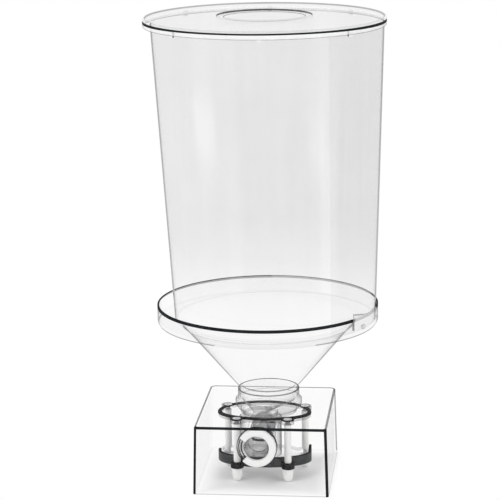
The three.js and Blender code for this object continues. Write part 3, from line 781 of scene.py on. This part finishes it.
def rim_lip():
    """Lip on the rim. Its top falls in a straight line from the slit to the rim, and its upper edge is
    a painted dark band of one height, a reflection."""
    inner_r, outer_r = 114.4, 115.9
    high, low, root, band_height = 194, 188.2, 185.6, 1.3
    sweep, steps = 15, 31
    t = np.radians(NOTCH_DEG + np.linspace(0, sweep, steps))
    top = (high - (high - low) * np.linspace(0, 1, steps)) * MM
    foot = np.full(steps, root * MM)
    band = np.maximum(top - band_height * MM, foot)
    rows = [(inner_r, foot), (inner_r, band), (inner_r, top)]
    rows += [(outer_r, top), (outer_r, band), (outer_r, foot)]
    points = np.stack([np.stack([r * MM * np.cos(t), r * MM * np.sin(t), z], axis=-1) for r, z in rows])
    verts, faces, looks = grid_part(points, np.array([2, 5, 5, 5, 2, 2]), True, False)
    return verts, faces + end_faces(numbered(len(rows), steps)), looks + [5, 2]


def onto_rim(part, reach):
    """Turns a part made about Z outwards, moves it outwards by a reach in millimetres, and takes it to
    the rim screw's height and angle."""
    verts, faces, looks = part
    x, y, z = verts.T
    return swung((np.column_stack([z + reach * MM, x, y + RIM_SCREW_Z * MM]), faces, looks), RIM_SCREW_DEG)


funnel = carved(
    softened(funnel),
    ("UNION", rim_lip()),
    ("DIFFERENCE", swung(slab((113, -1.6, 177), (118, 0, 195), 4), NOTCH_DEG)),
    ("DIFFERENCE", onto_rim(bar(1.7, 110, 118, segments=32, look=2), 0)),
    ("DIFFERENCE", onto_rim(bar(2.4, 111.2, 114.7, segments=32, look=2), 0)),
)
show(
    "funnel_moulding",
    funnel,
    "hopper",
    "clear_plastic",
    [tray_out, tray_in, faint_edge, rim_edge, soft_edge, thin_edge, socket_edge],
    "funnel",
)

# Rim screw: pan head with a round recess, on a short shank.
rim_screw = turned(
    [
        corner(0, -1.9),
        corner(1.4, -1.9, 0.3),
        corner(1.4, 0.3),
        corner(3.1, 0.3, 0.2),
        corner(3.1, 1.8, 0.8),
        corner(0.9, 1.8, 0.2),
        corner(0.7, 1.2, 0.2),
        corner(0, 1.2),
    ],
    48,
)
show("rim_screw_head", onto_rim(rim_screw, TRAY_R), "hopper", "steel", [steel], "rim_screw")

# Collar: socket, flange, spigot and the offset throat with its slanting port.
THROAT_SHIFT = VALVE[0] / MM
collar = turned(
    [
        corner(PORT_R, 65.4, 0.3, 2, 2, shift=THROAT_SHIFT),
        corner(18.4, 65.4, 0.4, shift=THROAT_SHIFT),
        corner(18.4, 69.4, 0.3, shift=THROAT_SHIFT),
        corner(29.8, 69.4, 0.4),
        corner(29.8, 73.3, 0.2),
        corner(32, 73.3, 0.4),
        corner(35.3, 77.5, 1.2),
        corner(35.3, 83.5, 0.9),
        corner(32.6, 83.5, 0.6),
        corner(32.6, 94.2, run=1),
        corner(32.6, 95.2, 0.6, 1, 1),
        corner(31, 95.2, 0.4, 1, 2),
        corner(31, 83, 0.4, 2, 2),
        corner(28, 83, 0.4, 3, 3),
        corner(PORT_R, 67.4, 0.8, 3, 2, shift=THROAT_SHIFT),
    ],
    LARGE,
    True,
)
show(
    "collar_moulding",
    collar,
    "stand",
    "clear_plastic",
    [collar_clear, socket_edge, collar_in, port_clear],
    "collar",
)


def cover_box():
    """Drafted shell, open below: rounded rectangles whose width and depth shrink with height. The front
    corners and the front of the top are painted dark as reflections, look 1. The rest of the top's edge,
    the rear right corner and the foot of the right side are painted grey, look 2. The foot is a thin
    painted line in front, look 4, and faint elsewhere, look 3."""
    centre_x = middle("cover_box")[0]
    size_low, size_high = np.array([141.6, 152.0]), np.array([137.8, 150.0])
    outer_radii, inner_radii = (2.0, 6.0), (0.6, 3.0)
    wall, turn_steps, band = 3.0, 8, 0.8
    top_z, foot_z = BOX_HEIGHT, 0.6
    panel_hole_r, shaft_hole_r = 30.2, 6.5

    def loop(z, inset, radii):
        half = ((size_low + (size_high - size_low) * z / BOX_HEIGHT) / 2 - inset) * MM
        front_r, back_r = radii
        corner_r = np.array([back_r, back_r, front_r, front_r])[:, None] * MM
        signs = np.array([(1, 1), (-1, 1), (-1, -1), (1, -1)])
        start = np.radians([[0], [90], [180], [270]])
        centres = signs * (half - corner_r)
        angle = start + np.radians(np.linspace(0, 90, turn_steps + 1))
        across = np.cos(angle) * corner_r
        along = np.sin(angle) * corner_r
        past_x, past_y = band * MM * np.sin(start), band * MM * np.cos(start)
        across = np.hstack([across[:, :1] + past_x, across, across[:, -1:] - past_y])
        along = np.hstack([along[:, :1] - past_y, along, along[:, -1:] - past_x])
        x = centres[:, :1] + across
        y = centres[:, 1:] + along
        return np.stack([x + centre_x, y, np.full(x.shape, z * MM)], axis=-1).reshape(-1, 3)

    outer = [
        (0, 0.0),
        (1.0, 0.0),
        (top_z - 2.3, 0.0),
        (top_z - 1.2, 0.0),
        (top_z - 0.6, 0.12),
        (top_z - 0.3, 0.4),
        (top_z - 0.1, 0.7),
        (top_z, 1.1),
        (top_z, 2.2),
    ]
    loops = [loop(z, inset, outer_radii) for z, inset in outer]
    loops += [loop(z, wall, inner_radii) for z in (top_z - wall, foot_z, 0)]
    top, ceiling = len(outer) - 1, len(outer)
    points = np.stack(loops)
    index = numbered(len(loops), points.shape[1])
    quads = net(index)
    looks = np.zeros(quads.shape[:2], int)
    per_corner = turn_steps + 3
    rear_right = slice(0, 5)
    front_left = slice(2 * per_corner, 3 * per_corner - 1)
    front_right = slice(3 * per_corner, 4 * per_corner - 1)
    front_run = slice(2 * per_corner, 4 * per_corner - 1)
    looks[3:top] = 2
    looks[:top, rear_right] = 2
    looks[[0, -1]] = 3
    looks[0, front_run] = 4
    looks[0, -2:] = 2
    looks[:top, front_left] = 1
    looks[:top, front_right] = 1
    looks[2:top, front_run] = 1
    keep = np.ones(len(loops), bool)
    keep[top] = False
    faces = quads[keep].reshape(-1, 4).tolist() + [index[top].tolist(), index[ceiling][::-1].tolist()]
    part = (points.reshape(-1, 3), faces, looks[keep].reshape(-1).tolist() + [0, 0])
    return carved(
        part,
        ("DIFFERENCE", bar(panel_hole_r, top_z - 6, top_z + 3, segments=120, look=3)),
        ("DIFFERENCE", along_valve(bar(shaft_hole_r, -82, -66, look=3))),
    )


show(
    "cover_shell",
    cover_box(),
    "stand",
    "clear_plastic",
    [box_sheet, dark_edge, socket_edge, faint_edge, thin_edge],
    "cover_box",
)

# Upper disc with four lobes, and its black gasket with a lip and two round pads at the front. The rear
# pads are pale grey rings.
disc = carved(
    plate([plan(0.5 * MM, LOBE_R * MM, POSTS)], 63.7 * MM, 66.6 * MM, 0.5 * MM),
    ("UNION", plate([plan(2.7 * MM, LOBE_R * MM, POSTS)], 65 * MM, 67.4 * MM, 0.3 * MM)),
    ("DIFFERENCE", bar(18.7, 60, 70, VALVE[:2], look=1)),
    ("DIFFERENCE", bars(ROD_HOLE_R, 60, 70, POSTS, look=1)),
)
show("upper_disc_plate", disc, "stand", "clear_plastic", [flat_clear, thin_edge], "upper_disc")
gasket = carved(
    round_plan(
        [
            corner(0, 66.7, 0.5),
            corner(0, 69, 0.6),
            corner(4.2, 69, 0.4),
            corner(4.2, 67.7, 0.2),
            corner(2.4, 67.7),
            corner(2.4, 66.7, 0.4),
        ]
    ),
    ("DIFFERENCE", bars(7.3, 62, 67.66, POSTS)),
    ("UNION", bars(LOBE_R, 67.7, 69, FRONT_POSTS, 0.4)),
    ("UNION", bars(LOBE_R, 67.7, 69, REAR_POSTS, 0.4, 1)),
    ("DIFFERENCE", bars(4.9, 66, 71, POSTS)),
)
show("rim_gasket", gasket, "stand", "seal_rubber", [rubber, thin_edge], "disc_gasket")

# Lower plate: clear, with two rear lobes, room for the front ears, and the outlet.
lower_outlines = [plan(3.1 * MM, LOBE_R * MM, REAR_POSTS), circle(OUTLET_R * MM, VALVE[:2])]
lower = carved(
    plate(lower_outlines, 16.6 * MM, 20.6 * MM, 0.5 * MM),
    ("UNION", bars(6.9, 14.6, 17.5, REAR_POSTS, 0.5)),
    ("DIFFERENCE", bars(7.5, 14, 22, FRONT_POSTS)),
    ("DIFFERENCE", bars(ROD_HOLE_R, 14, 22, REAR_POSTS)),
)
show("lower_plate_clear", lower, "stand", "clear_plastic", [flat_clear, thin_edge], "lower_plate")


def raised_end(z, t):
    """Rise of the bracket's wall towards its right end: rise * smooth((angle + sweep) / sweep), above
    the flange only."""
    rise, sweep, flange, blend = 6, 12, 17, 8
    share = np.clip((np.degrees(t) + sweep) / sweep, 0, 1)
    return rise * MM * share * share * (3 - 2 * share) * np.clip((z / MM - flange) / blend, 0, 1)


bracket = carved(
    round_plan(
        [
            corner(0, 14.6, 0.5),
            corner(0, 25.5, 0.6, 1, 1),
            corner(2.8, 25.5, 0.6, 1),
            corner(2.8, 16.3, 0.6),
            corner(9, 16.3, 0.5),
            corner(9, 14.6, 0.4),
        ],
        -185,
        190,
        raised_end,
    ),
    ("UNION", bars(LOBE_R, 14.6, 20.6, FRONT_POSTS, 0.6, 1)),
    ("DIFFERENCE", bars(ROD_HOLE_R, 13, 22, FRONT_POSTS)),
)
show("bracket_dark", bracket, "stand", "dark_plastic", [dark, rubber], "front_bracket")


def cap_nut(at):
    """Six-sided nut on a dome. The radius is the turned profile's, and in the nut no more than the
    flats allow, half / cos(angle to the nearest flat)."""
    dome = [(0, 0), (1.2, 0.05), (2.0, 0.2), (2.9, 0.75), (3.8, 1.7), (4.55, 2.8), (5.1, 4.1), (5.4, 5.6)]
    nut = [(5.4, 7.7), (5.5, 8), (5.9, 8.1), (6.2, 8.7), (6.2, 13.6), (5.9, 14.2), (5.4, 14.3), (0, 14.3)]
    nut_from, half, free = 8, 5.5, 9
    profile = np.array(dome + nut)
    angle = np.arange(72) * TAU / 72
    off_flat = np.mod(angle + np.radians(30), np.radians(60)) - np.radians(30)
    flats = np.where(profile[:, 1] >= nut_from, half, free)[:, None] / np.cos(off_flat)
    radius = np.minimum(profile[:, :1], flats) * MM
    x = at[0] + radius * np.cos(angle)
    y = at[1] + radius * np.sin(angle)
    points = np.stack([x, y, profile[:, 1:] * MM + 0 * radius], axis=-1)
    return grid_part(points, np.zeros(len(profile), int), False, True)


for place, (x, y) in zip(POST_NAMES, POSTS):
    sleeve = turned(
        [
            corner(ROD_HOLE_R, 20.9, 0.2),
            corner(3.7, 20.9, 0.4),
            corner(3.7, 63.4, 0.4),
            corner(ROD_HOLE_R, 63.4, 0.2),
        ],
        64,
        True,
        at=(x, y),
    )
    rod = turned(
        [
            corner(0, 5.4),
            corner(2.3, 5.4, 0.4),
            corner(2.3, 67.7),
            corner(4.5, 67.7, 0.2),
            corner(4.5, 69, 0.5),
            corner(2.2, 69, 0.2),
            corner(1.9, 68.3, 0.2),
            corner(0, 68.3),
        ],
        48,
        at=(x, y),
    )
    nut = carved(cap_nut((x, y)), ("DIFFERENCE", bar(ROD_HOLE_R, 5, 16, (x, y), segments=48)))
    show(f"sleeve_{place}", sleeve, "stand", "white_plastic", [white], f"post_sleeve_{place}")
    show(f"rod_{place}", rod, "stand", "steel", [steel], f"tie_rod_{place}")
    show(f"nut_{place}", nut, "stand", "white_plastic", [white], f"cap_nut_{place}")

# Valve body: upright chamber, barrel, boss for the lock screw, bore and ports.
LOCK = middle("lock_screw")[:2]
CHAMBER_R = 22.5
CHAMBER_BOTTOM, CHAMBER_TOP = 20.9, 63.4
BORE_R = 13
chamber = turned(
    [
        corner(0, CHAMBER_BOTTOM, run=2),
        corner(CHAMBER_R, CHAMBER_BOTTOM, 0.7),
        corner(CHAMBER_R, CHAMBER_TOP, 0.7, 2, 2),
        corner(0, CHAMBER_TOP, run=2),
    ],
    SMALL * 2,
    at=VALVE[:2],
)
valve_body = carved(
    chamber,
    ("UNION", along_valve(bar(16, -43, 39, rim=0.6, look=3))),
    ("UNION", bar(4.6, 44, 61.2, LOCK, 0.5)),
    ("DIFFERENCE", along_valve(bar(BORE_R, -45, 41, look=1))),
    ("DIFFERENCE", bar(PORT_R, 46, 66, VALVE[:2], look=1)),
    ("DIFFERENCE", bar(OUTLET_R, 18, 38, VALVE[:2], look=1)),
    ("DIFFERENCE", bar(1.8, 50, 64, LOCK, look=1)),
)
show(
    "valve_clear",
    valve_body,
    "stand",
    "clear_plastic",
    [thick_clear, bore_clear, flat_clear, barrel_clear],
    "valve_body",
)

# Rotor: hollow drum with a groove in its hollow and the measuring cup across it, and the black ring
# round the cup. The groove has a side painted dark and a side painted with a highlight.
ROTOR_R = 12.9
HOLLOW_R = 10.9
ROTOR_FRONT, ROTOR_REAR, HOLLOW_END = 38.7, -35.6, -13
drum = [corner(0, ROTOR_REAR), corner(ROTOR_R, ROTOR_REAR, 0.4), corner(ROTOR_R, ROTOR_FRONT, 0.5)]
hollow_drum = [
    *drum,
    corner(HOLLOW_R, ROTOR_FRONT, 0.5),
    corner(HOLLOW_R, 25.2, 0.1, 1, 1),
    corner(11.7, 24.6, 0.1, 1, 1),
    corner(11.7, 23.2, 0.1, 2, 2),
    corner(HOLLOW_R, 22.6, 0.1, 2),
    corner(HOLLOW_R, HOLLOW_END, 1.5),
    corner(0, HOLLOW_END),
]
full_drum = along_valve(turned([*drum, corner(0, ROTOR_FRONT)]))
cup = carved(bar(8.6, 28, 56, VALVE[:2]), ("INTERSECT", full_drum))
rotor = carved(
    along_valve(turned(hollow_drum)),
    ("UNION", cup),
    ("DIFFERENCE", bar(7.2, 33, 58, VALVE[:2], 1.0)),
    ("DIFFERENCE", along_valve(bar(SHAFT_BORE_R, -37, -15.7))),
)
show("rotor_clear", rotor, "rotor", "clear_plastic", [bore_clear, nose_edge, skirt_and_highlight], "measuring_rotor")
ring_section = ((8.7, 37.0), (9.5, 37.0), (10.1, 38.2), (10.1, 39.6), (8.7, 39.6))
ring = turned([corner(r, z, 0.3) for r, z in ring_section], SMALL, True, at=VALVE[:2])
show("cup_seal", ring, "rotor", "seal_rubber", [rubber], "cup_ring")

# Drive shaft with a flat at its end, and the bush that carries it.
shaft_flat = slab((-6, 2.9, -95), (6, 6, -79))
shaft = carved(along_valve(bar(4, -92, -16, rim=0.5)), ("DIFFERENCE", along_valve(shaft_flat)))
show("shaft_steel", shaft, "rotor", "steel", [steel], "drive_shaft")
bush = turned(
    [
        corner(SHAFT_BORE_R, -42.5, 0.3),
        corner(12.9, -42.5, 0.5),
        corner(12.9, -35.9, 0.5),
        corner(SHAFT_BORE_R, -35.9, 0.3),
    ],
    SMALL,
    True,
)
show("bush_white", along_valve(bush), "stand", "white_plastic", [white], "rear_bush")

# Nose: flange with two turned grooves in its face, window and the white C-shaped ring. Each groove has one
# wall painted dark and one painted with a highlight, and the flange's rim is painted dark.
NOSE_REAR, NOSE_FRONT = 39.3, 43.7
NOSE_IN_R, NOSE_R = 13.1, 21.5
flange = turned(
    [
        corner(NOSE_IN_R, NOSE_REAR, 0.3, 1, 0),
        corner(NOSE_R, NOSE_REAR, 0.5, 2, 2),
        corner(NOSE_R, NOSE_FRONT, 0.8, 2, 0),
        corner(19.4, NOSE_FRONT, 0.2, 2, 2),
        corner(18.7, 42.8, 0.1, 2, 3),
        corner(17.9, NOSE_FRONT, 0.2, 3, 0),
        corner(16.6, NOSE_FRONT, 0.2, 2, 2),
        corner(15.8, 42.8, 0.1, 2, 3),
        corner(15.0, NOSE_FRONT, 0.2, 3, 0),
        corner(NOSE_IN_R, NOSE_FRONT, 0.5, 2, 1),
    ],
    SMALL * 2,
    True,
)
show(
    "flange_clear",
    along_valve(flange),
    "stand",
    "clear_plastic",
    [bore_clear, thin_edge, nose_edge, skirt_and_highlight],
    "front_flange",
)
window = bar(12.8, 41.1, 43.3, rim=0.4)
show("window_clear", along_valve(window), "stand", "clear_plastic", [window_look], "front_window")
clip = turned(
    [
        corner(13.1, 44, 1.2),
        corner(20.5, 44, 1.2),
        corner(20.5, 49.3, 1.8),
        corner(13.1, 49.3, 1.8),
    ],
    SMALL * 2,
    True,
    start=-136,
    sweep=283,
)
show("clip_ring_white", along_valve(clip), "clip", "white_plastic", [white], "clip_ring")


def lock_screw():
    """Slotted thumb screw whose head is fluted: radius times 1 + depth cos(count t) above the seat."""
    seat, flute_count, flute_depth = 61.5, 20, 0.03
    verts, faces, looks = turned(
        [
            corner(0, 51),
            corner(1.7, 51, 0.3),
            corner(1.7, seat),
            corner(4.2, seat, 0.4),
            corner(4.2, 66.5, 0.9),
            corner(0, 66.5),
        ],
        160,
    )
    angle = np.arctan2(verts[:, 1], verts[:, 0])
    in_head = verts[:, 2] > (seat + 0.1) * MM
    flute = 1 + flute_depth * np.cos(flute_count * angle) * in_head
    verts[:, :2] *= flute[:, None]
    slot = slab((-6, -0.5, 65.5), (6, 0.5, 68))
    verts, faces, looks = carved((verts, faces, looks), ("DIFFERENCE", slot))
    return verts + np.array([LOCK[0], LOCK[1], 0]), faces, looks


show("lock_screw_head", lock_screw(), "lock", "steel", [knob_steel], "lock_screw")

for name in ("neck_seal", "inlet_seal"):
    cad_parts[name].data.materials.clear()
    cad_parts[name].data.materials.append(silicone)

# Stage: a pale floor that keeps the object's shadow and fades into the white background between two
# distances from the middle.
FLOOR_R = 9000
FLOOR_Z = -0.3
FADE_NEAR, FADE_FAR = 0.050, 0.074
ROOM_LIGHT = 0.76


def seen(f):
    """1 for rays from the camera, from mirrors and through glass, and 0 for light."""
    path = f.add("ShaderNodeLightPath", None, {}, {})
    camera_ray, glossy_ray, glass_ray = (
        Wire(f, path.outputs[name]) for name in ("Is Camera Ray", "Is Glossy Ray", "Is Transmission Ray")
    )
    return (camera_ray + glossy_ray + glass_ray).limited()


def floor_finish():
    """Matt and pale near the middle, and white where the larger of |x| and |y| is past the fade."""
    f = new_finish("pale_floor")
    across = f.along("X")
    apart = across.math("MAXIMUM", abs(across), abs(f.along("Y")))
    fade = ((apart - FADE_NEAR) / (FADE_FAR - FADE_NEAR)).limited()
    colour = f.blend(f.noise(300.0), grey(0.93), grey(0.96))
    matt = f.add("ShaderNodeBsdfDiffuse", 0, {}, {"Color": colour})
    glow = f.add("ShaderNodeEmission", 0, {}, {"Color": grey(1.0), "Strength": 1.0})
    return f.end(f.mix(seen(f) * fade, matt, glow))


floor_mesh = mesh_of("floor", turned([corner(0, FLOOR_Z), corner(FLOOR_R, FLOOR_Z)], 64))
floor_mesh.materials.append(floor_finish())
floor = bpy.data.objects.new("floor", floor_mesh)
bpy.context.scene.collection.objects.link(floor)

world = bpy.data.worlds.new("studio")
bpy.context.scene.world = world
sky = Finish(world)
room = sky.add("ShaderNodeBackground", 0, {}, {"Color": grey(1.0), "Strength": ROOM_LIGHT})
backdrop = sky.add("ShaderNodeBackground", 0, {}, {"Color": grey(1.0), "Strength": 1.0})
sky.end(sky.mix(seen(sky), room, backdrop))


def lamp(name, at, aim, size, power, mirrored=False):
    """Soft rectangular lamp at a place, which faces a height on the object's middle line. A mirrored
    one shows as a patch in the clear walls."""
    data = bpy.data.lights.new(name, "AREA")
    data.shape = "RECTANGLE"
    data.size, data.size_y = size
    data.energy = power
    light = bpy.data.objects.new(name, data)
    way = Vector((0, 0, aim)) - Vector(at)
    light.matrix_world = Matrix.Translation(at) @ way.to_track_quat("-Z", "Y").to_matrix().to_4x4()
    light.visible_camera = False
    light.visible_glossy = mirrored
    bpy.context.scene.collection.objects.link(light)


lamp("key", at=(-1.3, -1.5, 1.7), aim=0.25, size=(0.9, 0.9), power=14)
lamp("fill", at=(1.5, -1.1, 0.9), aim=0.25, size=(0.5, 1.1), power=7)
lamp("low_left", at=(-1.15, -0.62, 0.125), aim=0.3, size=(0.55, 0.15), power=1.3, mirrored=True)
lamp("low_right", at=(1.06, -0.84, 0.12), aim=0.3, size=(0.40, 0.12), power=0.6, mirrored=True)
